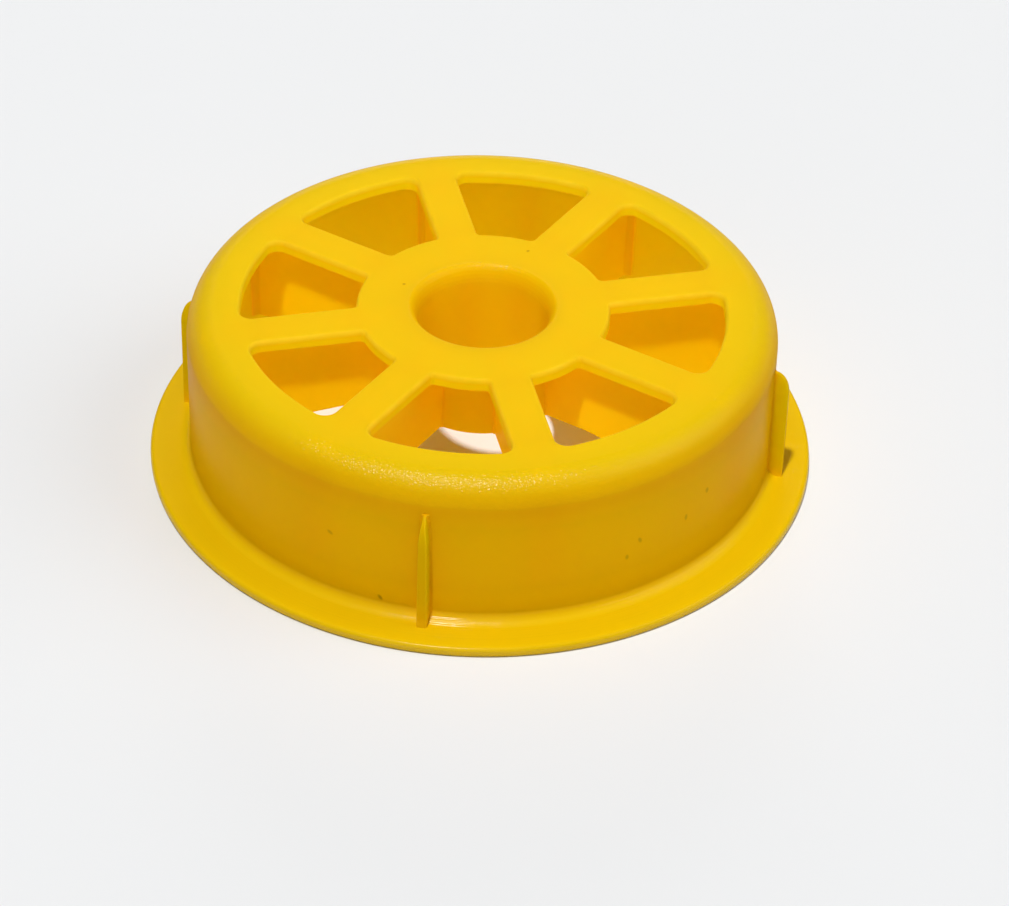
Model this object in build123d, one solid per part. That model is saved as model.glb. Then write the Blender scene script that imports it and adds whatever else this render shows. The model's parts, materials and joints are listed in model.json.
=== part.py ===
from build123d import *
import math
import os

# Core adapter for a label roll: one round plastic moulding that fills the roll's core and turns on an axle.
# Its features are separate solids here, which meet face to face where the moulding runs on.
# The origin is the centre of the flange's underside. +Z runs along the axle, from the flange to the face.

# Side wall: a loose fit in a cardboard core with a 76 mm hole
wall_radius = 37.5
wall_thickness = 2.0
height = 22.2  # from the flange's underside to the face
shoulder_radius = 3.6  # outside rounding between wall and face
shoulder_inner_radius = 1.6  # the same corner on the inside

# Flange: the disc that stops the roll
flange_width = 5.2  # how far it stands out from the wall
flange_thickness = 1.4
flange_edge = 0.5  # rounding of its outer edges
root_radius = 1.5  # hollow rounding between flange and wall

# Face: a plate with windows between its spokes
face_thickness = 1.8
rim_width = 6.8  # from the outside of the wall to the windows
window_count = 8
spoke_width = 5.4
lip_radius = 0.6  # rounding of the windows' outer edges
rim_corner = 1.5  # plan radius of a window's outer corners
collar_corner = 0.6  # plan radius of its inner corners

# Hub: a sleeve round the axle, under a wider collar
bore_radius = 8.3
mouth_width = 1.2  # the bore's mouth in the face is rounded to a quarter of an ellipse
mouth_depth = 2.7
sleeve_thickness = 1.7
collar_width = 6.1  # from the outside of the sleeve to the windows
hub_depth = 13.0  # from the face to the lower end of the sleeve

# Webs: upright plates under the spokes, drawn thinner downwards to leave the mould
web_top_width = 1.3
web_foot_width = 0.85
web_drop = 2.0  # how much lower they reach at the wall than at the sleeve

# Wedge ribs: they bite into the core and hold the roll
rib_count = 4
rib_projection = 1.95
rib_drop = 1.15  # from the lower end of the shoulder to the tip
rib_lead = 3.2  # height of the rounded lead-in
rib_foot_width = 1.4
rib_neck_width = 1.2  # where the lead-in starts
rib_tip_width = 0.4

mould_edge = 0.3  # small rounding of the open edges
land = 0.2  # straight stretch between a rounding and a joint face
overrun = 1.0  # how far cutting shapes run past what they cut

wall_inside = wall_radius - wall_thickness
flange_radius = wall_radius + flange_width
wall_base = flange_thickness + root_radius + land
wall_top = height - max(shoulder_radius, face_thickness + shoulder_inner_radius) - land
face_underside = height - face_thickness
window_radius = wall_radius - rim_width
sleeve_radius = bore_radius + sleeve_thickness
collar_radius = sleeve_radius + collar_width
hub_bottom = height - hub_depth
web_bottom = hub_bottom - web_drop
half_spoke = spoke_width / 2
rib_radius = wall_radius + rib_projection
rib_top = height - shoulder_radius - rib_drop
rib_shoulder = rib_top - rib_lead
window_pitch = 360 / window_count
rib_pitch = 360 / rib_count


def rounded_section(corners):
    """Upright section through the axis. Each corner is its radius, its height and its rounding."""
    outline = make_face(Plane.XZ * Polyline(*[(r, z) for r, z, rounding in corners], close=True))
    for r, z, rounding in corners:
        if rounding:
            corner = outline.vertices().sort_by_distance((r, 0, z))[0]
            outline = outline.face().fillet_2d(rounding, [corner])
    return outline


def turned(*corners):
    """Solid of revolution about the axle."""
    return revolve(rounded_section(corners), Axis.Z)


def make_flange():
    """Flat ring with the hollow rounding that leads into the wall."""
    return turned(
        (wall_inside, 0, mould_edge),
        (flange_radius, 0, flange_edge),
        (flange_radius, flange_thickness, flange_edge),
        (wall_radius, flange_thickness, root_radius),
        (wall_radius, wall_base, 0),
        (wall_inside, wall_base, 0),
    )


def make_side_wall():
    """Plain tube between the flange's root and the face's rim."""
    return turned(
        (wall_inside, wall_base, 0),
        (wall_radius, wall_base, 0),
        (wall_radius, wall_top, 0),
        (wall_inside, wall_top, 0),
    )


def make_hub_sleeve():
    """Tube round the axle, with a wide rounded mouth in the face."""
    mouth_radius = bore_radius + mouth_width
    mouth_foot = height - mouth_depth
    mouth = EllipticalCenterArc((mouth_radius, mouth_foot), mouth_width, mouth_depth, start_angle=90, arc_size=90)
    rest = Polyline(
        (bore_radius, mouth_foot),
        (bore_radius, hub_bottom),
        (sleeve_radius, hub_bottom),
        (sleeve_radius, height),
        (mouth_radius, height),
    )
    section = make_face(Plane.XZ * (mouth + rest))
    lower_corners = section.vertices().group_by(Axis.Z)[0]
    return revolve(section.face().fillet_2d(mould_edge, lower_corners), Axis.Z)


def window_outline():
    """One window centred on +X: a ring's sector between two spokes with parallel sides."""
    ring = Circle(window_radius) - Circle(collar_radius)
    bar_length = window_radius + overrun
    for side in (-1, 1):
        bar = Pos(bar_length / 2, 0) * Rectangle(bar_length, spoke_width)
        ring = ring - Rot(0, 0, side * window_pitch / 2) * bar
    outline = ring.faces().sort_by(Axis.X)[-1]
    by_radius = outline.vertices().sort_by_distance((0, 0, 0))
    outline = outline.fillet_2d(collar_corner, by_radius[:2])
    by_radius = outline.vertices().sort_by_distance((0, 0, 0))
    return outline.fillet_2d(rim_corner, by_radius[-2:])


def face_plate():
    """Whole face with the shoulder, its windows cut and their outer edges rounded."""
    plate = turned(
        (sleeve_radius, face_underside, 0),
        (sleeve_radius, height, 0),
        (wall_radius, height, shoulder_radius),
        (wall_radius, wall_top, 0),
        (wall_inside, wall_top, 0),
        (wall_inside, face_underside, shoulder_inner_radius),
    )
    window = extrude(Pos(0, 0, face_underside - overrun) * window_outline(), face_thickness + 2 * overrun)
    for place in range(window_count):
        plate = plate - Rot(0, 0, place * window_pitch) * window
    inner_limit = (sleeve_radius + collar_radius) / 2
    outer_limit = (window_radius + wall_radius - shoulder_radius) / 2
    lips = []
    for edge in plate.edges().filter_by_position(Axis.Z, height, height):
        middle = edge @ 0.5
        if inner_limit < math.hypot(middle.X, middle.Y) < outer_limit:
            lips.append(edge)
    return fillet(lips, lip_radius)


def split_face():
    """The face in its collar, its rim and its straight spokes, which meet on flat joints."""
    plate = face_plate()
    # a window's corner rounding touches the spoke's side this far out along the spoke
    start = math.sqrt((collar_radius + collar_corner) ** 2 - (half_spoke + collar_corner) ** 2) + land
    end = math.sqrt((window_radius - rim_corner) ** 2 - (half_spoke + rim_corner) ** 2) - land
    box = Pos((start + end) / 2, 0, face_underside + face_thickness / 2) * Box(
        end - start, spoke_width + overrun, face_thickness + 2 * overrun
    )
    spokes = []
    for place in range(window_count):
        turned_box = Rot(0, 0, (place + 0.5) * window_pitch) * box
        spokes.append(plate & turned_box)
        plate = plate - turned_box
    collar, rim = plate.solids().sort_by(lambda solid: solid.bounding_box().size.X)
    return collar, rim, spokes


def make_webs():
    """Tapered plates that run from the sleeve to the wall, one under the middle of each spoke.
    Their lower edge is level under the collar and slopes down from there to the wall."""
    chamber = turned(
        (sleeve_radius, hub_bottom, 0),
        (collar_radius, hub_bottom, 0),
        (wall_inside, web_bottom, 0),
        (wall_inside, face_underside, shoulder_inner_radius),
        (sleeve_radius, face_underside, 0),
    )
    section = Polyline(
        (-web_foot_width / 2, web_bottom),
        (web_foot_width / 2, web_bottom),
        (web_top_width / 2, face_underside),
        (-web_top_width / 2, face_underside),
        close=True,
    )
    web = extrude(make_face(Plane.YZ * section), wall_inside + overrun) & chamber
    return [Rot(0, 0, (place + 0.5) * window_pitch) * web for place in range(window_count)]


def make_wedge_ribs():
    """Narrow ribs on the wall, from the flange up to a pointed tip with a rounded lead-in."""
    inside = wall_radius - overrun
    below = flange_thickness - overrun
    lead_in = EllipticalCenterArc((wall_radius, rib_shoulder), rib_projection, rib_lead, arc_size=90)
    side = lead_in + Polyline(
        (wall_radius, rib_top), (inside, rib_top), (inside, below), (rib_radius, below), (rib_radius, rib_shoulder)
    )
    blade = extrude(make_face(Plane.XZ * side), rib_foot_width, both=True)
    front = Polyline(
        (-rib_foot_width / 2, below),
        (rib_foot_width / 2, below),
        (rib_foot_width / 2, flange_thickness),
        (rib_neck_width / 2, rib_shoulder),
        (rib_tip_width / 2, rib_top),
        (-rib_tip_width / 2, rib_top),
        (-rib_neck_width / 2, rib_shoulder),
        (-rib_foot_width / 2, flange_thickness),
        close=True,
    )
    taper = extrude(make_face(Plane.YZ * front), rib_radius + overrun)
    body = turned(
        (0, 0, 0),
        (flange_radius, 0, 0),
        (flange_radius, flange_thickness, 0),
        (wall_radius, flange_thickness, root_radius),
        (wall_radius, rib_top + overrun, 0),
        (0, rib_top + overrun, 0),
    )
    rib = (blade & taper) - body
    return [Rot(0, 0, place * rib_pitch) * rib for place in range(rib_count)]


collar, rim, spokes = split_face()
nodes = {
    "flange": make_flange(),
    "side_wall": make_side_wall(),
    "face_rim": rim,
    "hub_collar": collar,
    "hub_sleeve": make_hub_sleeve(),
}
for number, spoke in enumerate(spokes, 1):
    nodes[f"spoke_{number}"] = spoke
for number, web in enumerate(make_webs(), 1):
    nodes[f"web_{number}"] = web
for number, rib in enumerate(make_wedge_ribs(), 1):
    nodes[f"wedge_rib_{number}"] = rib

os.makedirs("parts", exist_ok=True)
for name, solid in nodes.items():
    export_step(solid, f"parts/{name}.step")
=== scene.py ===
import json
import bpy
import numpy as np
from math import cos, pi, radians, sin
from mathutils import Matrix, Vector


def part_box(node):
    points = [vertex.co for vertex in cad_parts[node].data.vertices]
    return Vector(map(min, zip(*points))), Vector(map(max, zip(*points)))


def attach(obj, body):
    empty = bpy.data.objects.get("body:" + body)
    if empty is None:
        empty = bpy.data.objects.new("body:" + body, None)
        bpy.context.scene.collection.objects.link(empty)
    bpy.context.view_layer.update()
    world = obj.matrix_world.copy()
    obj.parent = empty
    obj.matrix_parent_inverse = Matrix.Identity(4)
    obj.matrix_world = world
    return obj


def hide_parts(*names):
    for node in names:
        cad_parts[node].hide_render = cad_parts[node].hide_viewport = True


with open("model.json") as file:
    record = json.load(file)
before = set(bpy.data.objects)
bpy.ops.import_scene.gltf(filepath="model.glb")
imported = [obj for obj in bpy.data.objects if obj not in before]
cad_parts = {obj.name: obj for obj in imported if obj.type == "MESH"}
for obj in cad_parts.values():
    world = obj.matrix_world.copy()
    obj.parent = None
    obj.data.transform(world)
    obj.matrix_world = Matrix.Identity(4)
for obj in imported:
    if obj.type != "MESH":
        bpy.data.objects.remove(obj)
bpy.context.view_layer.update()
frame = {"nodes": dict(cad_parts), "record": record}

# Core adapter for a label roll: one yellow moulding, dressed feature by feature around its CAD nodes.
# Lengths are in millimetres until a mesh is made. Sections are drawn as (across, up) with the plastic on
# the left of the path, so that the way out of the plastic is always to its right.

mm = 0.001
low, high = 0, 1  # the two corners of a box
spokeCount = sum(name.startswith("spoke_") for name in frame["nodes"])
ribCount = sum(name.startswith("wedge_rib_") for name in frame["nodes"])
mounts = {mount["name"]: mount for mount in frame["record"]["mounts"]}


def cadSize(node, end, axis):
    # one coordinate of a CAD node's box
    return round(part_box(node)[end][axis] / mm, 2)


wallRadius = cadSize("side_wall", high, 0)
wallBase = cadSize("side_wall", low, 2)
wallTop = cadSize("side_wall", high, 2)
flangeRadius = cadSize("flange", high, 0)
height = cadSize("face_rim", high, 2)
underside = cadSize("web_1", high, 2)
sleeveRadius = cadSize("hub_sleeve", high, 0)
hubBottom = cadSize("hub_sleeve", low, 2)
ribRadius = cadSize("wedge_rib_1", high, 0)
ribTop = cadSize("wedge_rib_1", high, 2)
webBottom = cadSize("web_1", low, 2)
boreRadius = mounts["hub_bore"]["dims"]["r_mm"]
spokePitch = 2 * pi / spokeCount
ribPitch = 2 * pi / ribCount
wallThickness = 2.0
wallInside = wallRadius - wallThickness
smallEdge = 1.0  # an outer rounding below this radius gets rubbed in use


# Grids and sections

def between(a, b, steps, ends=(True, True)):
    # evenly spaced points on a straight line, with or without its ends
    share = np.linspace(0, 1, steps + 1)[:, None]
    share = share[0 if ends[0] else 1:len(share) if ends[1] else -1]
    return np.asarray(a, float) * (1 - share) + np.asarray(b, float) * share


def section(corners, stride=2.0, turn=8):
    # A path through (across, up, cut, second cut): a rounding starts one cut before its corner and ends one
    # cut behind it. It is the quarter of an ellipse that touches both sides: its centre, less the way out
    # times the cosine, plus the way in times the sine. With one cut it is the quarter of a circle.
    # Returns points, outward normals, and how far each point is round a small outer edge, from 0 to 1.
    spots = np.array([corner[:2] for corner in corners], float)
    cuts = [(tuple(corner[2:]) * 2)[:2] if len(corner) > 2 else (0, 0) for corner in corners]
    along = np.diff(spots, axis=0)
    along /= np.linalg.norm(along, axis=1)[:, None]
    points, tangents, worn = [spots[:1]], [along[:1]], [np.zeros(1)]
    for i, way in enumerate(along):
        start, tip = points[-1][-1], spots[i + 1] - way * cuts[i + 1][0]
        steps = max(1, int(np.ceil(np.linalg.norm(tip - start) / stride)))
        points.append(between(start, tip, steps, (False, True)))
        tangents.append(np.repeat(along[i:i + 1], steps, 0))
        worn.append(np.zeros(steps))
        if cuts[i + 1][0]:
            into, away = way * cuts[i + 1][0], along[i + 1] * cuts[i + 1][1]
            centre = spots[i + 1] - into + away
            share = np.arange(1, turn + 1)[:, None] / turn
            angle = pi / 2 * share
            points.append(centre - away * np.cos(angle) + into * np.sin(angle))
            tangents.append(away * np.sin(angle) + into * np.cos(angle))
            outer = way[0] * along[i + 1][1] > way[1] * along[i + 1][0] and max(cuts[i + 1]) < smallEdge
            worn.append(np.sin(pi * share[:, 0]) * outer)
    tangents = np.concatenate(tangents)
    tangents /= np.linalg.norm(tangents, axis=1)[:, None]
    return np.concatenate(points), np.stack([tangents[:, 1], -tangents[:, 0]], 1), np.concatenate(worn)


def toolMarks(run, pitch, depth, first, last, rise=0.7):
    # Fine rings left by the lathe that cut the mould: a cosine wave sunk into the section between two
    # lengths along it, faded in and out by a half sine. A rise below 1 makes it fade in sooner. The normal
    # leans back by the wave's slope.
    points, normals, worn = run
    along = np.concatenate([[0], np.cumsum(np.linalg.norm(np.diff(points, axis=0), axis=1))])
    share = np.clip((along - first) / (last - first), 0, 1)
    swell = np.sin(pi * share) ** rise
    wave = -depth * swell * (1 - np.cos(2 * pi * (along - first) / pitch)) / 2
    slope = np.gradient(wave, along)[:, None]
    way = np.stack([-normals[:, 1], normals[:, 0]], 1)
    lean = normals - slope * way
    return points + wave[:, None] * normals, lean / np.linalg.norm(lean, axis=1)[:, None], worn


def turned(run, angles):
    # the section goes round the axle: (across cos a, across sin a, up)
    points, normals, worn = run
    ring = np.stack([np.cos(angles), np.sin(angles)], -1)

    def spun(pairs):
        up = np.broadcast_to(pairs[:, None, 1:], (len(pairs), len(ring), 1))
        return np.concatenate([pairs[:, None, :1] * ring, up], 2)

    return spun(points), spun(normals), np.repeat(worn[:, None], len(ring), 1)


def carried(run, outline, outlineNormals):
    # The section stands on a plan outline: across is measured into the plastic, square to the outline.
    points, normals, worn = run
    place = outline[None] + points[:, None, :1] * outlineNormals[None]
    lean = normals[:, None, :1] * outlineNormals[None] * np.ones_like(points[:, None, :1])
    up = np.broadcast_to(points[:, None, 1:], place.shape[:2] + (1,))
    tilt = np.broadcast_to(normals[:, None, 1:], place.shape[:2] + (1,))
    place = np.concatenate([place, up], 2)
    lean = np.concatenate([lean, tilt], 2)
    return place, lean, np.repeat(worn[:, None], len(outline), 1)


def ruled(first, last, steps, normal):
    # straight lines from each point of one edge to the same point of the other
    share = np.linspace(0, 1, steps + 1)[:, None, None]
    place = first[None] * (1 - share) + last[None] * share
    return place, np.broadcast_to(np.asarray(normal, float), place.shape), np.zeros(place.shape[:2])


def rotated(patch, angle):
    # a patch turned about the axle
    spin = np.array([[cos(angle), sin(angle), 0], [-sin(angle), cos(angle), 0], [0, 0, 1]])
    return patch[0] @ spin, patch[1] @ spin, patch[2]


def gridNormals(place):
    # normal of a free surface: the cross product of the grid's two directions
    lean = np.cross(np.gradient(place, axis=0), np.gradient(place, axis=1))
    return lean / np.maximum(np.linalg.norm(lean, axis=2), 1e-12)[..., None]


def flat(loop, level):
    # a plan outline at one level
    return np.concatenate([loop, np.full((len(loop), 1), level)], 1)


weldGrid = 1e-4  # points that fall on the same place of this grid, in millimetres, are one


def makePiece(name, patches, *nodes):
    # Welds grids of (points, normals, wear) where they meet and makes them one closed mesh. A face's
    # corners keep the normals of their own grid, so roundings run smoothly into flats and joints are crisp.
    points, quads, leans, worn, first = [], [], [], [], 0
    for place, lean, rubbed in patches:
        rows, columns = place.shape[:2]
        index = np.arange(rows * columns).reshape(rows, columns)
        quad = np.stack([index[:-1, :-1], index[:-1, 1:], index[1:, 1:], index[1:, :-1]], -1).reshape(-1, 4)
        spots, ways = place.reshape(-1, 3), lean.reshape(-1, 3)
        corner = spots[quad]
        faceWay = np.cross(corner[:, 2] - corner[:, 0], corner[:, 3] - corner[:, 1])
        if (faceWay * ways[quad].sum(1)).sum() < 0:
            quad = quad[:, ::-1]
        points.append(spots)
        leans.append(ways[quad])
        quads.append(quad + first)
        worn.append(rubbed.ravel())
        first += len(spots)
    points, leans, quads = np.concatenate(points), np.concatenate(leans), np.concatenate(quads)
    cells = np.round(points / weldGrid).astype(np.int64)
    welded, keep, merged = np.unique(cells, axis=0, return_index=True, return_inverse=True)
    corners = merged.reshape(-1)[quads]
    # a quad with two corners at one place becomes a triangle, and one with less than three places goes
    same = corners == np.roll(corners, -1, axis=1)
    whole = ~same.any(1)
    pinched = same.sum(1) == 1
    rolled = np.argmax(same[pinched], 1)
    order = (rolled[:, None] + np.arange(1, 4)) % 4
    rows = np.arange(pinched.sum())[:, None]
    faces = corners[whole].tolist() + corners[pinched][rows, order].tolist()
    loopNormals = np.concatenate([leans[whole].reshape(-1, 3), leans[pinched][rows, order].reshape(-1, 3)])
    mesh = bpy.data.meshes.new(name)
    mesh.from_pydata((points[keep] * mm).tolist(), [], faces)
    mesh.polygons.foreach_set("use_smooth", np.ones(len(faces), bool))
    mesh.normals_split_custom_set(loopNormals)
    rubbed = np.zeros(len(welded), np.float32)
    np.maximum.at(rubbed, merged.reshape(-1), np.concatenate(worn).astype(np.float32))
    mesh.attributes.new("wear", "FLOAT", "POINT").data.foreach_set("value", rubbed)
    mesh.update()
    piece = bpy.data.objects.new(name, mesh)
    bpy.context.scene.collection.objects.link(piece)
    piece.data.materials.append(yellowAbs)
    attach(piece, "root")
    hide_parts(*nodes)
    print("made", name, len(faces), "faces")
    return piece


# Plan outlines of the windows, drawn in the frame of one spoke: x runs out along its middle

face = dict(
    rimWidth=6.8,  # from the outside of the wall to the windows
    spokeWidth=5.4,
    collarWidth=6.1,  # from the sleeve to the windows
    rimCorner=1.5,
    collarCorner=0.6,
    lip=0.45,  # rounding of the windows' upper edges, as seen from above
    lipDepth=0.85,  # and how far down it reaches
    underEdge=0.2,  # rounding of their lower edges
    land=0.2,  # straight stretch between a corner and the joint with the spoke
    jointSteps=6, cornerSteps=12, rimSteps=14, collarSteps=8, spokeSteps=8,
    rimRows=3, collarRows=5,
)
halfSpoke = face["spokeWidth"] / 2


def halfOutline(radius, corner, outer):
    # From the joint with the spoke: a straight land, the arc of the corner and the arc round the axle, as
    # far as the middle of the window. The corner's centre is one corner radius from the spoke's side and
    # from the arc. Returns points, normals into the plastic, and the angle about the axle at which a line
    # from each point meets a circle.
    side = -1 if outer else 1
    reach = radius + side * corner
    cornerX = np.sqrt(reach ** 2 - (halfSpoke + corner) ** 2)
    centre = np.array([cornerX, halfSpoke + corner])
    touch = np.arctan2(centre[1], centre[0])
    joint = np.array([cornerX + side * face["land"], halfSpoke])
    bend = np.linspace(-pi / 2, touch if outer else touch - pi, face["cornerSteps"] + 1)[1:]
    cornerWay = np.stack([np.cos(bend), np.sin(bend)], 1)
    arcSteps = face["rimSteps"] if outer else face["collarSteps"]
    sweep = np.linspace(touch, spokePitch / 2, arcSteps + 1)[1:]
    arcWay = np.stack([np.cos(sweep), np.sin(sweep)], 1)
    points = np.concatenate([[joint, [cornerX, halfSpoke]], centre + corner * cornerWay, radius * arcWay])
    normals = np.concatenate([[[0, -1], [0, -1]], cornerWay, arcWay * -side])
    jointTurn = np.arctan2(halfSpoke - face["lip"], joint[0])
    length = face["land"] + corner * np.abs(bend + pi / 2)
    lines = np.concatenate([[0, face["land"]], length]) / length[-1]
    angles = np.concatenate([jointTurn + (touch - jointTurn) * lines, sweep])
    return points, normals, angles


rimRadius = wallRadius - face["rimWidth"]
collarRadius = sleeveRadius + face["collarWidth"]
rimHalf = halfOutline(rimRadius, face["rimCorner"], True)
collarHalf = halfOutline(collarRadius, face["collarCorner"], False)
spokeStart, spokeEnd = collarHalf[0][0][0], rimHalf[0][0][0]
windowSection = section([
    (face["lip"], height),
    (0, height, face["lip"], face["lipDepth"]),
    (0, underside, face["underEdge"]),
    (face["underEdge"], underside),
], stride=0.6, turn=10)


# Material

def linear(hexColour):
    # sRGB hex to the linear colour that shaders take
    part = np.array([int(hexColour[i:i + 2], 16) for i in (1, 3, 5)]) / 255
    part = np.where(part <= 0.04045, part / 12.92, ((part + 0.055) / 1.055) ** 2.4)
    return (*part, 1.0)


def addNode(tree, kind, *inputs, **settings):
    # Adds a node. Its inputs come in the order of its sockets and are numbers, colours, outputs, or nodes,
    # which stand for their first output. Settings are its own properties, or more inputs by name.
    node = tree.nodes.new("ShaderNode" + kind)
    sockets = dict(enumerate(inputs))
    for key, value in settings.items():
        if hasattr(node, key):
            setattr(node, key, value)
        else:
            sockets[key] = value
    for key, value in sockets.items():
        if isinstance(value, bpy.types.Node):
            value = next(output for output in value.outputs if output.enabled)
        if isinstance(value, bpy.types.NodeSocket):
            tree.links.new(value, node.inputs[key])
        else:
            node.inputs[key].default_value = value
    return node


plastic = dict(
    # The outer skin by height. Its steps are set to the tones each height shows under this light, so they
    #     # hold painted shade: the wall and the lower shoulder are painted darker than the face and the
    #     flange.
    skin=[
        (0.0, "#B48A08"),  # painted contact shadow where the edge stands on the table
        (0.3, "#E0AC06"),
        (0.7, "#F0BE04"),
        (1.6, "#FFD006"),
        (2.5, "#FDC604"),
        (3.6, "#F4B902"),
        (6.5, "#E2A900"),
        (15.5, "#E3AB00"),
        (18.4, "#FBB303"),
        (20.2, "#EDB306"),
        (22.0, "#EFCA0E"),  # satin face
    ],
    bore="#F5CB06",
    # Inner faces, plates and sleeve first and then the wall: painted light, lighter than the outer skin so
    # that
    #     # the hollow glows as if lit from inside. They are linear colours, and come out a little above
    #     what hex can hold.
    inside=(1.08, 0.83, 0.004, 1.0),
    insideWallGlow=(1.18, 0.94, 0.004, 1.0),
    paintedCornerShade=0.87,  # painted shade where a web runs into the wall
    paintedRibShade=(0.97, 0.98, 1.0),  # painted shade: the ribs' tone against the wall's, a little darker
    rubbed="#FFDC30",  # edges that fingers and cores have rubbed
    rubStrength=1.5,
    patch=2.5,  # size of the patches in which edges are rubbed and rings show
    mark="#A87803",  # small nicks
    throughColour="#FFFF14",  # light that gets through the thin walls
    through=0.4,
    flangeThrough=0.32,
    ribThrough=0.6,
    ior=1.53,
    specular=0.025,  # low, because the fine texture of the surface scatters its shine
    satin=0.42,  # roughness of the spark-eroded face
    smooth=0.3,  # of the wall
    coatRough=0.2,  # roughness of a glossier skin
    coatShoulder=0.38,  # and how much of it lies on the shoulder, the flange and the bore's mouth
    coatTurned=0.5,
    coatMouth=0.2,
    boreRings=0.08,  # share of the ring bump in the bore, whose own rings are in its shape
    mouthPitch=0.6,  # coarser turns of its mouth, which only the gloss shows
    mouthDepth=0.03,
    grain=0.3,  # size of the eroded texture, drawn coarser than it is so that the render can hold it
    grainDepth=0.12,
    softShare=0.07,  # how much of the grain the plastic under the gloss shows
    ringPitch=0.26,  # lathe rings on the flange and in the bore
    ringDepth=0.22,
    mottle=9.0,  # slow change of tone across the flow of the plastic
    mottleShare=0.03,
)

# Where each mask of the plastic starts and ends, by distance from the axle and by height
acrossZone = dict(
    outside=(wallInside + 0.6, wallInside + 1.2),
    inside=(wallInside + 0.2, wallInside + 0.8),
    wallSkin=(wallInside - 0.06, wallInside - 0.01),
    shadedWebCorner=(wallInside - 1.1, wallInside - 0.7),
    sleeve=(sleeveRadius - 0.8, sleeveRadius),
    rib=(wallRadius + 0.1, wallRadius + 0.6),
    shoulder=(wallRadius - 3.6, wallRadius - 2.4),
    rim=(rimRadius + 0.6, rimRadius + 1.2),
)
upZone = dict(
    flange=(1.8, 3.2),
    face=(wallTop - 1.0, wallTop + 1.5),
    faceFoot=(underside, underside + 1.0),
    lip=(height - 1.1, height - 0.2),
    shoulderTop=(height - 2.2, height - 0.8),
    mouth=(height - 3.4, height - 2.2),
)
nick = dict(
    # places (x, y, z), lengths and widths of small nicks
    spots=[
        ((-12.11, -35.49, 11.22), 0.6, 0.3),
        ((-5.6, -37.08, 3.4), 0.9, 0.3),
        ((24.79, -28.14, 10.22), 0.6, 0.3),
        ((23.44, -29.27, 8.23), 0.5, 0.3),
        ((29.69, -22.91, 10.51), 0.6, 0.3),
        ((31.76, -19.94, 12.77), 0.6, 0.35),
        ((-10.71, 2.45, 22.2), 0.35, 0.25),
        ((3.47, 13.1, 22.2), 0.35, 0.25),
    ],
    slope=1.8,  # how steeply one ends at its edge
    depth=0.12,
    firstTurn=(0.0, 0.5, 0.0),  # how the first lies, in radians about x, y and z
    turn=(0.4, 0.3, 0.6),  # and how much further each one is turned
)


def skinToneAndShade(tree, up):
    # the skin's colours by height, which hold painted shade on the wall and the lower shoulder
    share = addNode(tree, "Math", up, height * mm, operation="DIVIDE")
    node = addNode(tree, "ValToRGB", share)
    node.color_ramp.elements.remove(node.color_ramp.elements[1])
    for number, (level, colour) in enumerate(plastic["skin"]):
        stops = node.color_ramp.elements
        stop = stops[0] if number == 0 else stops.new(level / height)
        stop.position = level / height
        stop.color = linear(colour)
    return node


def nickMask(tree, place):
    # each nick is a small ellipsoid: 1 in its middle, fading to 0 at its edge
    total = None
    for number, (middle, length, width) in enumerate(nick["spots"]):
        centre = [v * mm for v in middle]
        lie = [start + step * number for start, step in zip(nick["firstTurn"], nick["turn"])]
        size = length * mm, width * mm, width * mm
        spun = addNode(tree, "Mapping", place, centre, lie, size, vector_type="TEXTURE")
        far = addNode(tree, "VectorMath", spun, operation="LENGTH")
        slope = nick["slope"]
        near = addNode(tree, "Math", far, -slope, slope, operation="MULTIPLY_ADD", use_clamp=True)
        total = near if total is None else addNode(tree, "Math", total, near, operation="MAXIMUM")
    return total


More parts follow.
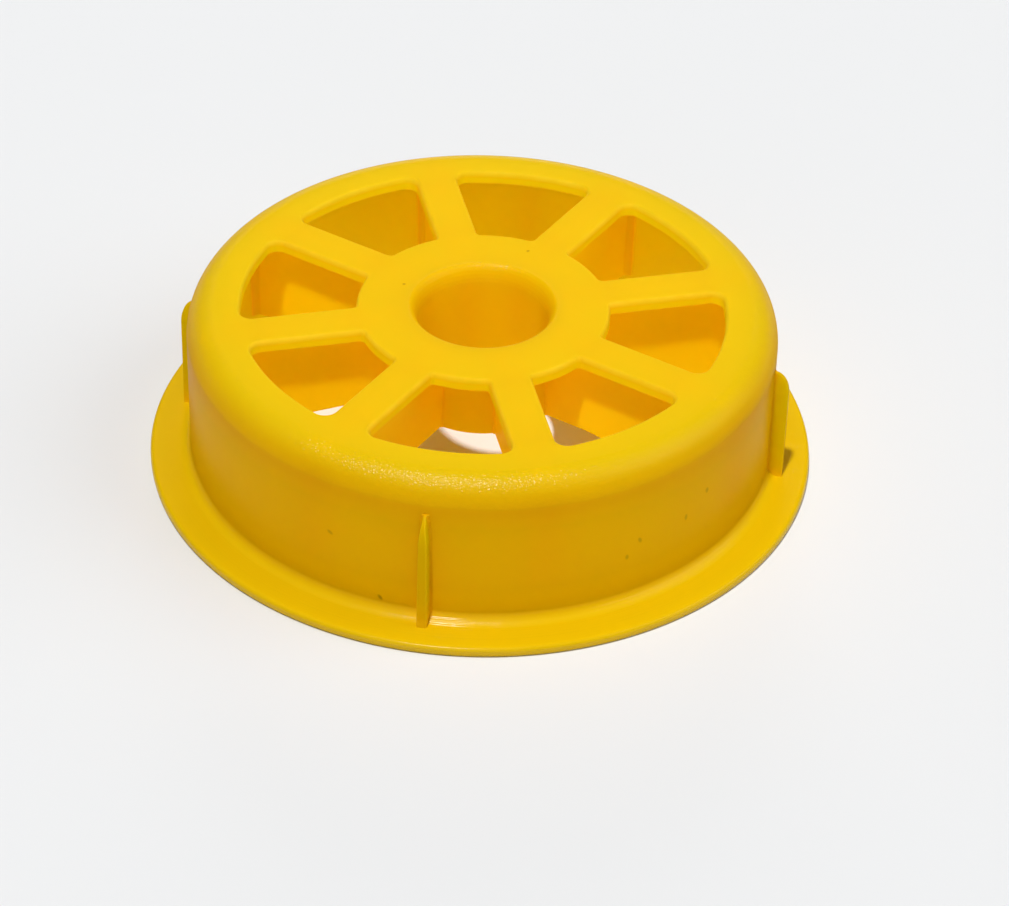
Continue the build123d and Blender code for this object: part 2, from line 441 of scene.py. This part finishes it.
def makePlastic():
    # ABS, injection moulded in yellow: thin enough to glow where light stands behind it. The face and its
    # shoulder carry the fine grain of an eroded mould, the wall is smoother, and the flange and the bore
    # have the rings of a mould that was turned on a lathe.
    material = bpy.data.materials.new("ABS moulded yellow satin")
    material.use_nodes = True
    tree = material.node_tree
    shader = tree.nodes["Principled BSDF"]
    place = addNode(tree, "TexCoord").outputs["Object"]
    up = addNode(tree, "SeparateXYZ", place).outputs["Z"]
    flatPlace = addNode(tree, "VectorMath", place, (1, 1, 0), operation="MULTIPLY")
    across = addNode(tree, "VectorMath", flatPlace, operation="LENGTH")

    # Where on the part a point lies, as masks from 0 to 1. Each is a soft step over its zone, up or down.
    past = {}
    for measure, zones in ((across, acrossZone), (up, upZone)):
        for name, (start, end) in zones.items():
            ends = start * mm, end * mm
            past[name] = addNode(tree, "MapRange", measure, *ends, interpolation_type="SMOOTHSTEP")
    before = {name: addNode(tree, "Math", 1.0, past[name], operation="SUBTRACT")
              for name in ("flange", "sleeve", "inside", "faceFoot", "rim", "lip", "wallSkin")}
    onFlange = addNode(tree, "Math", past["outside"], before["flange"], operation="MULTIPLY")
    # inner faces, and the windows' edges below the lip, where the glow of the hollow is painted
    inner = addNode(tree, "Math", before["inside"], before["faceFoot"], operation="MULTIPLY")
    window = addNode(tree, "Math", before["rim"], before["lip"], operation="MULTIPLY")
    inner = addNode(tree, "Math", inner, window, operation="MAXIMUM")
    inner = addNode(tree, "Math", inner, past["sleeve"], operation="MULTIPLY")
    onRib = addNode(tree, "Math", past["rib"], past["flange"], operation="MULTIPLY")
    # painted shade on the inner faces where a web runs into the wall
    corner = addNode(tree, "Math", past["shadedWebCorner"], before["wallSkin"], operation="MULTIPLY")
    corner = addNode(tree, "Math", corner, inner, operation="MULTIPLY")
    onShoulder = addNode(tree, "Math", past["shoulderTop"], past["shoulder"], operation="MULTIPLY")
    inMouth = addNode(tree, "Math", before["sleeve"], past["mouth"], operation="MULTIPLY")
    inBore = addNode(tree, "Math", before["sleeve"], plastic["boreRings"], operation="MULTIPLY")
    turnedSkin = addNode(tree, "Math", inBore, onFlange, operation="ADD")

    # colour, with painted light on the inner faces and painted shade by height, in the web corners and on
    # the ribs
    bore, glowColours = linear(plastic["bore"]), dict(A=plastic["inside"], B=plastic["insideWallGlow"])
    tone = addNode(tree, "Mix", Factor=before["sleeve"], A=skinToneAndShade(tree, up), B=bore, data_type="RGBA")
    # painted light: the inner faces take brighter tones than the outer skin
    paintedGlowTone = addNode(tree, "Mix", Factor=past["wallSkin"], **glowColours, data_type="RGBA")
    tone = addNode(tree, "Mix", Factor=inner, A=tone, B=paintedGlowTone, data_type="RGBA")
    # darken those corners: painted shade
    cornerShadeFactor = addNode(tree, "Math", corner, plastic["paintedCornerShade"] - 1, 1.0, operation="MULTIPLY_ADD")
    tone = addNode(tree, "VectorMath", tone, cornerShadeFactor, operation="MULTIPLY")
    slow = addNode(tree, "TexNoise", place, Scale=1 / (plastic["mottle"] * mm), Detail=3.0)
    mottle = plastic["mottleShare"]
    cloud = addNode(tree, "Math", slow, 2 * mottle, 1 - mottle, operation="MULTIPLY_ADD")
    tone = addNode(tree, "VectorMath", tone, cloud, operation="MULTIPLY")
    # painted shade: the ribs a little darker than the wall
    ribShadeShares = dict(A=(1.0, 1.0, 1.0, 1.0), B=(*plastic["paintedRibShade"], 1.0))
    ribShadeMix = addNode(tree, "Mix", Factor=onRib, **ribShadeShares, data_type="RGBA")
    tone = addNode(tree, "VectorMath", tone, ribShadeMix, operation="MULTIPLY")
    wear = addNode(tree, "Attribute", attribute_name="wear").outputs["Fac"]
    patchy = addNode(tree, "TexNoise", place, Scale=1 / (plastic["patch"] * mm), Detail=4.0)
    worn = addNode(tree, "Math", wear, patchy, operation="MULTIPLY")
    free = addNode(tree, "Math", 1.0, onFlange, operation="SUBTRACT")
    strength = addNode(tree, "Math", free, plastic["rubStrength"], operation="MULTIPLY")
    rubbed = addNode(tree, "Math", worn, strength, operation="MULTIPLY")
    tone = addNode(tree, "Mix", Factor=rubbed, A=tone, B=linear(plastic["rubbed"]), data_type="RGBA")
    nicked = nickMask(tree, place)
    tone = addNode(tree, "Mix", Factor=nicked, A=tone, B=linear(plastic["mark"]), data_type="RGBA")
    tree.links.new(tone.outputs["Result"], shader.inputs["Base Color"])

    # gloss
    smooth, gain = plastic["smooth"], plastic["satin"] - plastic["smooth"]
    rough = addNode(tree, "Math", past["face"], gain, smooth, operation="MULTIPLY_ADD")
    tree.links.new(rough.outputs[0], shader.inputs["Roughness"])
    shader.inputs["IOR"].default_value = plastic["ior"]
    shader.inputs["Specular IOR Level"].default_value = plastic["specular"]
    gloss = addNode(tree, "Math", onShoulder, plastic["coatShoulder"], operation="MULTIPLY")
    gloss = addNode(tree, "Math", onFlange, plastic["coatTurned"], gloss, operation="MULTIPLY_ADD")
    gloss = addNode(tree, "Math", inMouth, plastic["coatMouth"], gloss, operation="MULTIPLY_ADD")
    tree.links.new(gloss.outputs[0], shader.inputs["Coat Weight"])
    shader.inputs["Coat Roughness"].default_value = plastic["coatRough"]

    # Eroded grain on the face and its shoulder. The lathe's rings run round the axle, so their noise takes
    # only a point's radius and height, and is broken up by the patchy noise.
    grain = addNode(tree, "TexNoise", place, Scale=1 / (plastic["grain"] * mm), Detail=1.0)
    grain = addNode(tree, "Math", grain, past["face"], operation="MULTIPLY")
    grain = addNode(tree, "Math", grain, plastic["grainDepth"], operation="MULTIPLY")
    ringPlace = addNode(tree, "CombineXYZ", across, up)
    ring = addNode(tree, "TexNoise", ringPlace, Scale=1 / (plastic["ringPitch"] * mm), Detail=1.0)
    ring = addNode(tree, "Math", ring, patchy, operation="MULTIPLY")
    ring = addNode(tree, "Math", ring, turnedSkin, operation="MULTIPLY")
    skin = addNode(tree, "Math", ring, plastic["ringDepth"], grain, operation="MULTIPLY_ADD")
    skin = addNode(tree, "Math", nicked, -nick["depth"], skin, operation="MULTIPLY_ADD")
    # the mouth's coarser turns are a sine wave over how far a point lies up its rounding
    along = addNode(tree, "Math", up, across, operation="SUBTRACT")
    turns = addNode(tree, "Math", along, 2 * pi / (plastic["mouthPitch"] * mm), operation="MULTIPLY")
    wave = addNode(tree, "Math", turns, operation="SINE")
    wave = addNode(tree, "Math", wave, inMouth, operation="MULTIPLY")
    gloss = addNode(tree, "Math", wave, plastic["mouthDepth"], skin, operation="MULTIPLY_ADD")
    sharp = addNode(tree, "Bump", Height=gloss, Strength=1.0, Distance=mm)
    soft = addNode(tree, "Bump", Height=skin, Strength=plastic["softShare"], Distance=mm)
    tree.links.new(sharp.outputs["Normal"], shader.inputs["Coat Normal"])
    tree.links.new(soft.outputs["Normal"], shader.inputs["Normal"])

    # light that comes through
    through = addNode(tree, "BsdfTranslucent", linear(plastic["throughColour"]))
    base = plastic["through"]
    share = addNode(tree, "Math", onFlange, plastic["flangeThrough"] - base, base, operation="MULTIPLY_ADD")
    share = addNode(tree, "Math", onRib, plastic["ribThrough"] - base, share, operation="MULTIPLY_ADD")
    surface = addNode(tree, "MixShader", share, shader.outputs["BSDF"], through)
    tree.links.new(surface.outputs["Shader"], tree.nodes["Material Output"].inputs["Surface"])
    print("made material", material.name)
    return material


yellowAbs = makePlastic()


# Loops round the windows and across the joints

crosswise = np.array([1, -1])  # takes a point of the plan to the spoke's other side


def mirrored(patch):
    # the same patch on the spoke's other side
    flip = np.array([1, -1, 1])
    return patch[0] * flip, patch[1] * flip, patch[2]


def spokeTurns():
    # the angles of the spokes, the first of which is half a pitch on from +X
    return [(0.5 + place) * spokePitch for place in range(spokeCount)]


def wholeLoop(half, offset):
    # one closed loop round all windows: half, joint and half for each spoke, moved into the plastic
    shifted = half[0] + half[1] * offset
    joint = between(shifted[0] * crosswise, shifted[0], face["jointSteps"], (False, False))
    cell = np.concatenate([shifted[::-1] * crosswise, joint, shifted])
    turns = [cell @ np.array([[cos(a), sin(a)], [-sin(a), cos(a)]]) for a in spokeTurns()]
    return np.concatenate([turn[:-1] for turn in turns] + [turns[0][:1]])


def wholeAngles(half):
    # the angles about the axle that belong to that loop's points
    angles = half[2]
    joint = np.linspace(-angles[0], angles[0], face["jointSteps"] + 1)[1:-1]
    cell = np.concatenate([-angles[::-1], joint, angles])
    turns = [cell[:-1] + a for a in spokeTurns()]
    return np.concatenate(turns + [cell[:1] + spokeTurns()[-1] + spokePitch])


def jointFace(x, way):
    # where a spoke meets the collar or the rim: level lines from one side's section to the other's
    across = halfSpoke - windowSection[0][:, 0]
    share = np.linspace(-1, 1, face["jointSteps"] + 1)
    place = np.stack(np.broadcast_arrays(x, across[:, None] * share, windowSection[0][:, 1:]), 2)
    return place, np.broadcast_to(np.array([way, 0.0, 0.0]), place.shape), np.zeros(place.shape[:2])


def circle(radius, angles, level):
    # points round the axle at one level
    return np.stack([radius * np.cos(angles), radius * np.sin(angles), np.full(len(angles), level)], 1)


rimAngles = wholeAngles(rimHalf)
collarAngles = wholeAngles(collarHalf)
lipTop, lipFoot = face["lip"], face["underEdge"]


# Flange: a flat ring with a hollow rounding into the wall

flange = dict(
    thickness=1.4,
    edge=0.5,  # rounding of its outer edges
    root=1.5,  # hollow rounding into the wall
    mouldEdge=0.3,  # rounding of the inner foot
)


def makeFlange():
    # Its section goes from the joint with the wall down the inside, round the edge and up the hollow
    # rounding. It and the joint are turned about the axle.
    skin = section([
        (wallInside, wallBase),
        (wallInside, 0, flange["mouldEdge"]),
        (flangeRadius, 0, flange["edge"]),
        (flangeRadius, flange["thickness"], flange["edge"]),
        (wallRadius, flange["thickness"], flange["root"]),
        (wallRadius, wallBase),
    ], stride=1.0, turn=12)
    joint = section([(wallRadius, wallBase), (wallInside, wallBase)], stride=1.0)
    makePiece("moulded_flange", [turned(skin, rimAngles), turned(joint, rimAngles)], "flange")


# Side wall: a plain tube

def makeWall():
    # the four sides of a narrow upright rectangle, each turned about the axle
    corners = [(wallRadius, wallBase), (wallRadius, wallTop), (wallInside, wallTop), (wallInside, wallBase)]
    runs = [section([corners[i], corners[(i + 1) % 4]], stride=1.5) for i in range(4)]
    makePiece("moulded_side_wall", [turned(run, rimAngles) for run in runs], "side_wall")


# Rim of the face with the rounded shoulder

rim = dict(
    shoulder=3.6,  # outside rounding between wall and face
    inner=1.6,  # the same corner on the inside
)


def makeRim():
    # The shoulder, the inner corner and the joint with the wall are turned about the axle. Straight lines
    # run from the loop round the windows to a circle, above and below. The windows' edges are the window
    # section carried along half an outline, and its mirror image.
    shoulderStart = wallRadius - rim["shoulder"]
    innerStart = wallInside - rim["inner"]
    outer = [(wallRadius, wallTop), (wallRadius, height, rim["shoulder"]), (shoulderStart, height)]
    inner = [(innerStart, underside), (wallInside, underside, rim["inner"]), (wallInside, wallTop)]
    joint = [(wallInside, wallTop), (wallRadius, wallTop)]
    runs = section(outer, turn=24), section(inner, turn=10), section(joint, stride=1.5)
    patches = [turned(run, rimAngles) for run in runs]
    faces = (lipTop, shoulderStart, height, 1), (lipFoot, innerStart, underside, -1)
    for offset, radius, level, way in faces:
        loop, ring = flat(wholeLoop(rimHalf, offset), level), circle(radius, rimAngles, level)
        patches.append(ruled(loop, ring, face["rimRows"], (0, 0, way)))
    window = carried(windowSection, rimHalf[0], rimHalf[1])
    for angle in spokeTurns():
        patches += [rotated(patch, angle) for patch in (window, mirrored(window), jointFace(spokeEnd, -1))]
    makePiece("moulded_face_rim", patches, "face_rim")


# Collar of the hub, between the sleeve and the windows

def makeCollar():
    # as the rim: lines from a circle to the loop round the windows, a turned joint, and the windows' edges
    patches = []
    for offset, level, way in ((lipTop, height, 1), (lipFoot, underside, -1)):
        ring, loop = circle(sleeveRadius, collarAngles, level), flat(wholeLoop(collarHalf, offset), level)
        patches.append(ruled(ring, loop, face["collarRows"], (0, 0, way)))
    joint = section([(sleeveRadius, height), (sleeveRadius, underside)], stride=0.6)
    patches.append(turned(joint, collarAngles))
    window = carried(windowSection, collarHalf[0], collarHalf[1])
    for angle in spokeTurns():
        patches += [rotated(patch, angle) for patch in (window, mirrored(window), jointFace(spokeStart, 1))]
    makePiece("moulded_hub_collar", patches, "hub_collar")


# Sleeve round the axle, with a wide rounded mouth that still shows the rings of the lathe

sleeve = dict(
    mouthWidth=1.2, mouthDepth=2.7,
    mouldEdge=0.3,  # rounding of the lower edges
    markPitch=0.53, markDepth=0.008,  # rings of the lathe
)


def makeSleeve():
    # One closed section turned about the axle. Its mouth is the quarter of an ellipse, with tool marks.
    foot = height - sleeve["mouthDepth"] - sleeve["markPitch"]
    mouth = section([
        (sleeveRadius, height),
        (boreRadius, height, sleeve["mouthWidth"], sleeve["mouthDepth"]),
        (boreRadius, foot),
    ], turn=56)
    first = sleeveRadius - boreRadius - sleeve["mouthWidth"]
    last = sleeve["mouthWidth"] + sleeve["mouthDepth"]
    mouth = toolMarks(mouth, sleeve["markPitch"], sleeve["markDepth"], first, last)
    rest = section([
        (boreRadius, foot),
        (boreRadius, hubBottom, sleeve["mouldEdge"]),
        (sleeveRadius, hubBottom, sleeve["mouldEdge"]),
        (sleeveRadius, height),
    ], turn=5)
    makePiece("moulded_hub_sleeve", [turned(mouth, collarAngles), turned(rest, collarAngles)], "hub_sleeve")


# Spokes: straight bars between the windows

def makeSpokes():
    # the window section carried along a straight side, its mirror image, and level lines between the two
    xs = between([spokeStart, halfSpoke], [spokeEnd, halfSpoke], face["spokeSteps"])
    into = np.tile([0.0, -1.0], (len(xs), 1))
    side = carried(windowSection, xs, into)
    patches = [side, mirrored(side), jointFace(spokeStart, -1), jointFace(spokeEnd, 1)]
    for offset, level, way in ((lipTop, height, 1), (lipFoot, underside, -1)):
        edge = flat(xs + into * offset, level)
        patches.append(ruled(edge * [1, -1, 1], edge, face["jointSteps"], (0, 0, way)))
    for number, angle in enumerate(spokeTurns(), 1):
        placed = [rotated(patch, angle) for patch in patches]
        makePiece(f"moulded_spoke_{number}", placed, f"spoke_{number}")


# Webs under the spokes, thinner downwards, with hollow roundings into the face, the sleeve and the wall

web = dict(
    top=1.3, foot=0.85,  # widths
    mouldEdge=0.3,
    faceRound=0.5, sleeveRound=0.3, wallRound=1.0,  # hollow roundings
    sink=0.4,
    below=0.3,  # how far the corner at the wall reaches below its node, so that no table shows past it
    bendSteps=8, middleSteps=13,
)


def makeWebs():
    # Half a section lies at each place along the web, its lower part moved down with the sloping edge.
    spread = web["top"] / 2 + web["faceRound"]
    half = section([
        (0, underside + web["sink"]),
        (-spread, underside + web["sink"]),
        (-spread, underside),
        (-web["top"] / 2, underside, web["faceRound"]),
        (-web["foot"] / 2, hubBottom, web["mouldEdge"]),
        (0, hubBottom),
    ], stride=1.2)[0]
    loop = np.concatenate([half, half[-2::-1] * [-1, 1]])
    bend = np.linspace(0, pi / 2, web["bendSteps"] + 1)
    flare, gain = 1 - np.cos(bend), 1 - np.sin(bend)
    atWall = wallInside - web["wallRound"] * gain
    atSleeve = (sleeveRadius + web["sleeveRound"] * gain)[::-1]
    middle = np.linspace(atSleeve[-1], atWall[0], web["middleSteps"] + 1)[1:-1]
    sunk = [sleeveRadius - web["sink"]], [wallInside + web["sink"]]
    out = np.concatenate([sunk[0], atSleeve, middle, atWall, sunk[1]])
    sleeveFlare, wallFlare = web["sleeveRound"] * flare[::-1], web["wallRound"] * flare
    flares = np.concatenate([sleeveFlare[:1], sleeveFlare, 0 * middle, wallFlare, wallFlare[-1:]])
    # the hollow roundings spread the sides, and the lower edge only as far as its own rounding
    full = np.clip(np.abs(loop[:, 0]) / (web["foot"] / 2 - web["mouldEdge"]), 0, 1)
    y = loop[None, :, 0] + np.sign(loop[None, :, 0]) * full[None] * flares[:, None]
    x = np.sqrt(np.maximum(out[:, None] ** 2 - y ** 2, 0))
    x[0], x[-1] = out[0], out[-1]
    drop = np.interp(out, [collarRadius, wallInside], [0, hubBottom - webBottom + web["below"]])
    start = underside - web["faceRound"]
    depth = np.clip((start - loop[:, 1]) / (start - hubBottom), 0, 1)
    tube = np.stack([x, y, loop[None, :, 1] - drop[:, None] * depth[None]], 2)
    patches = closedTube(tube)
    for number, angle in enumerate(spokeTurns(), 1):
        placed = [rotated(patch, angle) for patch in patches]
        makePiece(f"moulded_web_{number}", placed, f"web_{number}")


def closedTube(tube, worn=None):
    # A tube of sections that are symmetric about their first and middle points, which lie half-way between
    # their neighbours at both ends. Each end is made of lines from side to side. The normals are worked out
    # over the closed loop, so the seam does not show.
    ring = np.concatenate([tube[:, -2:-1], tube, tube[:, 1:2]], 1)
    lean = gridNormals(ring)[:, 1:-1]
    worn = np.zeros(tube.shape[:2]) if worn is None else np.broadcast_to(worn, tube.shape[:2])
    centre = tube.mean(1, keepdims=True)
    if ((tube - centre) * lean).sum() < 0:
        lean = -lean
    patches = [(tube, lean, worn)]
    middle = tube.shape[1] // 2
    for end, inner in ((0, 1), (-1, -2)):
        left, right = tube[end, 1:middle], tube[end, ::-1][1:middle]
        way = tube[end].mean(0) - tube[inner].mean(0)
        patches.append(ruled(left, right, 2, way / np.linalg.norm(way)))
    return patches


# Wedge ribs: narrow ribs that bite into the core, with a rounded lead-in at the top

rib = dict(
    lead=3.2,  # height of the lead-in, a quarter of an ellipse
    foot=1.3, neck=1.08, tip=0.3,  # widths
    edge=0.14,  # rounding of the outer edges
    rootRound=0.4,  # hollow rounding into the wall
    sink=0.4,
    wear=0.4,  # how strongly its outer edges are rubbed
    shaftSteps=8, leadSteps=20, edgeSteps=5,
    nearWall=0.3, nearSteps=6,  # closer rows over this share of the side, for the hollow rounding
    side=(0.55, 0.8, 1.0),  # the rows of the rest
)


def makeRibs():
    # A rib's section lies at each level, from its middle inside the wall to the middle of its front. It is
    # carried up the straight shaft and round the lead-in, where it leans back with the ellipse.
    projection = ribRadius - wallRadius
    shoulder = ribTop - rib["lead"]
    bottom = flange["thickness"] - rib["sink"]
    shaft = rib["shaftSteps"] + 1
    quarter = np.linspace(0, pi / 2, rib["leadSteps"] + 1)[1:]
    depth = np.concatenate([np.full(shaft, projection), projection * np.cos(quarter), [-rib["sink"]]])
    lead = shoulder + rib["lead"] * np.sin(quarter)
    level = np.concatenate([np.linspace(bottom, shoulder, shaft), lead, [ribTop]])
    way = np.stack([np.cos(quarter) / projection, np.sin(quarter) / rib["lead"]], 1)
    way /= np.linalg.norm(way, axis=1)[:, None]
    way = np.concatenate([np.tile([1.0, 0], (shaft, 1)), way, [[0, 1.0]]])
    last = len(depth) - 1
    tip = ribTop - 2 * rib["edge"]
    innerLevel = np.interp(np.arange(last + 1), [0, shaft - 1, last], [bottom, shoulder, tip])
    # across the section: inside the wall, hollow rounding, side, outer edge, and the middle of the front
    bend = np.linspace(0, pi / 2, rib["edgeSteps"] + 1)[1:]
    sunk = -rib["sink"]
    outerX, outerZ = depth[:, None] - way[:, :1] * rib["edge"], level[:, None] - way[:, 1:] * rib["edge"]
    share = np.concatenate([[0], np.linspace(0, rib["nearWall"], rib["nearSteps"] + 1), rib["side"]])
    sideX = sunk + (outerX - sunk) * share
    sideZ = innerLevel[:, None] + (outerZ - innerLevel[:, None]) * share
    arcX = outerX + way[:, :1] * rib["edge"] * np.sin(bend)
    arcZ = outerZ + way[:, 1:] * rib["edge"] * np.sin(bend)
    x = np.concatenate([sideX, arcX, depth[:, None]], 1)
    z = np.concatenate([sideZ, arcZ, level[:, None]], 1)
    widths = np.array([rib["foot"], rib["neck"], rib["tip"]])
    halfWidth = np.interp(z, [flange["thickness"], shoulder, ribTop], widths / 2)
    near = np.clip(1 - x / rib["rootRound"], 0, 1)
    flare = rib["rootRound"] * (1 - np.sqrt(1 - near ** 2))
    tuck = np.concatenate([np.zeros(len(share)), rib["edge"] * (1 - np.cos(bend))])
    y = np.concatenate([(halfWidth + flare)[:, :len(tuck)] - tuck, 0 * depth[:, None]], 1)
    half = np.stack([wallRadius + x, -y, z], 2)
    half = np.concatenate([half[:, :1] * [1, 0, 1], half], 1)
    tube = np.concatenate([half, half[:, -2::-1] * [1, -1, 1]], 1)
    rubbed = np.zeros(half.shape[1])
    rubbed[1 + len(share):1 + len(tuck)] = rib["wear"] * np.sin(bend * 2)
    patches = closedTube(tube, np.concatenate([rubbed, rubbed[-2::-1]]))
    for number in range(1, ribCount + 1):
        placed = [rotated(patch, (number - 1) * ribPitch) for patch in patches]
        makePiece(f"moulded_wedge_rib_{number}", placed, f"wedge_rib_{number}")


makeFlange()
makeWall()
makeRim()
makeCollar()
makeSleeve()
makeSpokes()
makeWebs()
makeRibs()


# Camera, where the photograph was taken from

camera = dict(
    azimuth=9.75,  # place of the camera, seen from a point on the axle
    elevation=35.945,
    distance=465.4,
    middle=12.876,  # how high that point is
    lookDown=37.331,  # the look itself, which passes the point a little low and to its right
    lookRight=0.485,
    roll=1.525,
    lens=129.67,
    near=10.0,  # nothing nearer than this is drawn
)


def spot(azimuth, elevation, distance, heightUp=0.0):
    # a place round the object: azimuth 0 is on the -Y side, and turns towards +X
    a, e = radians(azimuth), radians(elevation)
    way = Vector((sin(a) * cos(e), -cos(a) * cos(e), sin(e)))
    return way * distance * mm + Vector((0, 0, heightUp * mm))


def makeCamera():
    # turned about the upright, tilted down and rolled, in this order, and then put in its place
    data = bpy.data.cameras.new("camera")
    data.lens = camera["lens"]
    data.clip_start = camera["near"] * mm
    holder = bpy.data.objects.new("camera", data)
    bpy.context.scene.collection.objects.link(holder)
    turn = Matrix.Rotation(radians(camera["azimuth"] - camera["lookRight"]), 4, "Z")
    tilt = Matrix.Rotation(radians(90 - camera["lookDown"]), 4, "X")
    roll = Matrix.Rotation(radians(camera["roll"]), 4, "Z")
    place = spot(camera["azimuth"], camera["elevation"], camera["distance"], camera["middle"])
    holder.matrix_world = Matrix.Translation(place) @ turn @ tilt @ roll
    bpy.context.scene.camera = holder
    print("made the camera")


# Floor, lights and surroundings of a small product studio

studio = dict(
    floor="#E2E3E4",
    floorRough=0.8,
    floorSize=3000.0,
    # Each lamp's azimuth from the camera, its elevation, how wide it is, and its share of the light on a
    # level surface. The shares add up to a little over one, so that colours render about as written.
    lamps=dict(
        key=(-21.0, 70.7, 3.4, 0.86),  # hard, from above the camera's left shoulder
        sideLight=(85.0, 38.0, 50.0, 0.18),
        backLight=(180.0, 15.0, 26.0, 0.04),
        frontLight=(-10.0, 25.0, 40.0, 0.024),
        softLight=(0.0, 89.0, 80.0, 0.02),
    ),
    lampDistance=1000.0,
    roomShare=0.03,
    bounces=32,  # light goes to and fro many times between the thin glowing walls
)


def makeSun(name, azimuth, elevation, angle, share):
    # the share is what reaches a level surface: strength over pi, less the slant
    data = bpy.data.lights.new(name, "SUN")
    data.angle = radians(angle)
    data.energy = share * pi / sin(radians(elevation))
    lamp = bpy.data.objects.new(name, data)
    way = spot(camera["azimuth"] + azimuth, elevation, studio["lampDistance"])
    lamp.location = way
    lamp.rotation_mode = "QUATERNION"
    lamp.rotation_quaternion = way.to_track_quat("Z", "Y")
    bpy.context.scene.collection.objects.link(lamp)


def makeFloor():
    # a square sheet of white paper under the part, matt: it has no gloss at all
    mesh = bpy.data.meshes.new("floor")
    reach = studio["floorSize"] / 2 * mm
    corners = [(-reach, -reach, 0), (reach, -reach, 0), (reach, reach, 0), (-reach, reach, 0)]
    mesh.from_pydata(corners, [], [(0, 1, 2, 3)])
    floor = bpy.data.objects.new("floor", mesh)
    bpy.context.scene.collection.objects.link(floor)
    paper = bpy.data.materials.new("paper matt white")
    paper.use_nodes = True
    shader = paper.node_tree.nodes["Principled BSDF"]
    shader.inputs["Base Color"].default_value = linear(studio["floor"])
    shader.inputs["Roughness"].default_value = studio["floorRough"]
    shader.inputs["Specular IOR Level"].default_value = 0.0
    floor.data.materials.append(paper)


def makeStudio():
    makeFloor()
    for name, lamp in studio["lamps"].items():
        makeSun(name, *lamp)
    world = bpy.data.worlds.new("studio")
    world.use_nodes = True
    sky = world.node_tree.nodes["Background"]
    sky.inputs["Color"].default_value = (1, 1, 1, 1)
    sky.inputs["Strength"].default_value = studio["roomShare"]
    bpy.context.scene.world = world
    print("made the floor,", len(studio["lamps"]), "lamps and the room")


makeCamera()
makeStudio()
bpy.context.scene.view_settings.view_transform = "Standard"
for setting in ("max_bounces", "diffuse_bounces", "transmission_bounces"):
    setattr(bpy.context.scene.cycles, setting, studio["bounces"])
